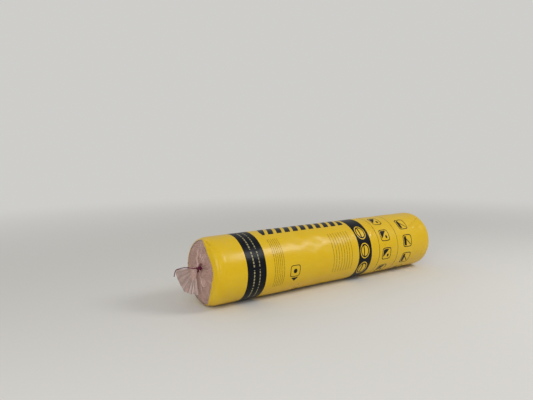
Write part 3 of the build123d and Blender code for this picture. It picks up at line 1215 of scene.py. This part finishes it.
def twine_material():
    """Polypropylene film twine, split and twisted: a dull sheen along its fine fibres."""
    material, tree, shader = new_material("polypropylene_twine")
    own_map = add_node(tree, "ShaderNodeUVMap", uv_map="map")
    stretched = add_node(tree, "ShaderNodeMapping", {"Vector": own_map, "Scale": FIBRES_PER_M})
    fibres = add_node(tree, "ShaderNodeTexNoise", {"Vector": stretched, "Scale": 1.0, "Detail": 3.0})
    tones = {0: fibres, 6: linear(TWINE_DARK), 7: linear(TWINE_MAGENTA)}
    colour = add_node(tree, "ShaderNodeMix", tones, 2, data_type="RGBA")
    bump = add_node(tree, "ShaderNodeBump", {"Height": fibres, "Strength": 0.6, "Distance": 0.0003})
    fill_inputs(shader, {"Base Color": colour, "Normal": bump, "Roughness": 0.55})
    fill_inputs(shader, {"Specular IOR Level": 0.3, "IOR": 1.49})
    return material


def ring_line():
    """Two turns round the neck that start and end at the knot."""
    points = []
    for step in range(RING_STEPS + 1):
        share = step / RING_STEPS
        angle = RING_START + share * 4 * math.pi
        x = WAIST_X + RING_HALF_PITCH * math.tanh(6 * (share - 0.5)) / math.tanh(3)
        radius = RING_RADIUS + RING_WOBBLE * math.sin(3 * angle + 1)
        y = NECK_Y - radius * math.cos(angle)
        points.append(Vector((x, y, NECK_Z + radius * math.sin(angle))))
    return points


def directions(rise, across):
    """Directions sideways, up and forward of twine that stands along rise."""
    rise = Vector(rise).normalized()
    sideways = rise.cross(Vector(across)).normalized()
    return sideways, rise, rise.cross(sideways)


def knot_line(centre, rise, size):
    """Line of an overhand knot, drawn tight into a small ball."""
    points = []
    sideways, rise, forward = directions(rise, (0, -0.8, -0.6))
    for step in range(KNOT_STEPS):
        angle = 2 * math.pi * step / (KNOT_STEPS - 1) * KNOT_RUN
        a = (math.sin(angle) + 2 * math.sin(2 * angle)) * size
        b = (math.cos(angle) - 2 * math.cos(2 * angle)) * size
        c = -math.sin(3 * angle) * KNOT_DEPTH * size
        points.append(centre + sideways * a + rise * b + forward * c)
    return points


def loop_line(name, start, length, direction, sway):
    """Loop of twine that stands out of the knot in a direction."""
    sideways, rise, forward = directions(direction, (-0.57, -0.82, 0.1))
    corners = []
    for a, b, c in LOOP_SHAPE:
        corners.append(start + sideways * (a + sway * b * b) + rise * (b * length) + forward * c)
    return curve_points(name, corners)


TWINE_FINISH = twine_material()

for piece_name, line_points in (
    ("tie_rings", ring_line()),
    ("tie_knot", knot_line(KNOT_PLACE, (0.2, -0.4, 0.88), 1.7)),
    ("tie_second_knot", knot_line(SECOND_KNOT, (0.7, -0.6, 0.4), 1.8)),
    ("tie_third_knot", knot_line(THIRD_KNOT, (-0.5, -0.3, 0.8), 2.0)),
    ("tie_upper_loop", loop_line("upper_loop", SECOND_KNOT, 20, (0.15, -0.4, 0.92), 1.0)),
    ("tie_lower_loop", loop_line("lower_loop", SECOND_KNOT, 14, (0.2, -0.97, 0.12), -1.0)),
    ("tie_stub", [KNOT_PLACE, STUB_END]),
):
    piece = twine(piece_name, line_points)
    piece.data.materials.append(TWINE_FINISH)
    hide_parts("tie_string")
    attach(piece, "root")

# Loose end of the tie: the same twine, left long after the knot. It runs over the top of
# the fan and its cut end drops past the corner of the fan.
LOOSE_END_ROUTE = [
    STUB_END,
    (-581.5, -16.0, 158.0),
    (-596.5, -12.5, 161.5),
    (-615.5, -11.0, 165.0),
    (-633.5, -12.0, 163.5),
    (-652.5, -11.0, 160.5),
    (-655.0, -10.0, 136.0),
]

loose_end_points = curve_points("loose_end_route", LOOSE_END_ROUTE)
loose_end = twine("tie_loose_twine", loose_end_points)
loose_end.data.materials.append(TWINE_FINISH)
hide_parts("tie_loose_end")
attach(loose_end, "root")

# Viewpoint: from the front and a little above, towards the tied end, with the roll
# running away to the right.
CAMERA_PLACE = Vector((-1.3826, -1.646, 0.587))
CAMERA_AIM = Vector((0.56869, 0.81657, -0.09906))
CAMERA_ROLL = math.radians(-0.7)
CAMERA_LENS_MM = 33.46
SENSOR_WIDTH_MM = 36

camera_data = bpy.data.cameras.new("camera")
camera_data.lens = CAMERA_LENS_MM
camera_data.sensor_width = SENSOR_WIDTH_MM
camera = bpy.data.objects.new("camera", camera_data)
camera.location = CAMERA_PLACE
camera_turn = CAMERA_AIM.to_track_quat("-Z", "Y") @ Quaternion((0, 0, 1), CAMERA_ROLL)
camera.rotation_euler = camera_turn.to_euler()
bpy.context.scene.collection.objects.link(camera)
bpy.context.scene.camera = camera

# Studio: a plain pale floor that the roll lies on and that fades into a plain pale
# backdrop, and large soft lamps above, in front and behind.
FLOOR_HALF_SIZE = 12.0
FLOOR_COLOUR = "#E2E0DC"
FLOOR_FADE_START = 0.8
FLOOR_FADE_END = 4.5
SURROUND_COLOUR = "#E6E5E2"
SURROUND_LIGHT = 0.55
BACKDROP_LIGHT = 0.78


def painted_floor():
    """Matt painted board under the roll, which far off takes the backdrop's colour."""
    material, tree, shader = new_material("matt_painted_board")
    fill_inputs(shader, {"Base Color": linear(FLOOR_COLOUR), "Roughness": 0.9})
    place = add_node(tree, "ShaderNodeTexCoord", give="Object")
    reach = add_node(tree, "ShaderNodeVectorMath", (place,), "Value", operation="LENGTH")
    far = add_node(
        tree,
        "ShaderNodeMapRange",
        (reach, FLOOR_FADE_START, FLOOR_FADE_END),
        interpolation_type="SMOOTHSTEP",
    )
    fade = add_node(tree, "MULTIPLY", (far, add_node(tree, "ShaderNodeLightPath", give="Is Camera Ray")))
    backdrop = add_node(tree, "ShaderNodeEmission", (linear(SURROUND_COLOUR), BACKDROP_LIGHT))
    surface = add_node(tree, "ShaderNodeMixShader", (fade, shader.outputs["BSDF"], backdrop))
    fill_inputs(tree.nodes["Material Output"], {"Surface": surface})
    return material


def studio_lamp(name, place, target, size, power):
    """Square soft lamp that looks at a point."""
    data = bpy.data.lights.new(name, "AREA")
    data.size = size
    data.energy = power
    lamp = bpy.data.objects.new(name, data)
    lamp.location = place
    lamp.rotation_euler = (Vector(target) - Vector(place)).to_track_quat("-Z", "Y").to_euler()
    bpy.context.scene.collection.objects.link(lamp)


bpy.ops.mesh.primitive_plane_add(size=2 * FLOOR_HALF_SIZE, location=(0, 0, 0))
floor = bpy.context.object
floor.name = "floor"
floor.data.materials.append(painted_floor())

world = bpy.data.worlds.new("surround")
world.use_nodes = True
bpy.context.scene.world = world
seen = add_node(world.node_tree, "ShaderNodeLightPath", give="Is Camera Ray")
light = (seen, 0.0, 1.0, SURROUND_LIGHT, BACKDROP_LIGHT)
strength = add_node(world.node_tree, "ShaderNodeMapRange", light)
background = world.node_tree.nodes["Background"]
fill_inputs(background, {"Color": linear(SURROUND_COLOUR), "Strength": strength})
bpy.context.scene.view_settings.view_transform = "Standard"

studio_lamp("lamp_key", (1.5, -1.7, 2.1), (0, 0, 0.13), 1.0, 28)
studio_lamp("lamp_front", (-2.4, -2.0, 1.5), (-0.3, 0, 0.13), 1.6, 32)
studio_lamp("lamp_behind", (-0.6, 2.6, 2.2), (0.2, 0, 0.13), 2.0, 6)
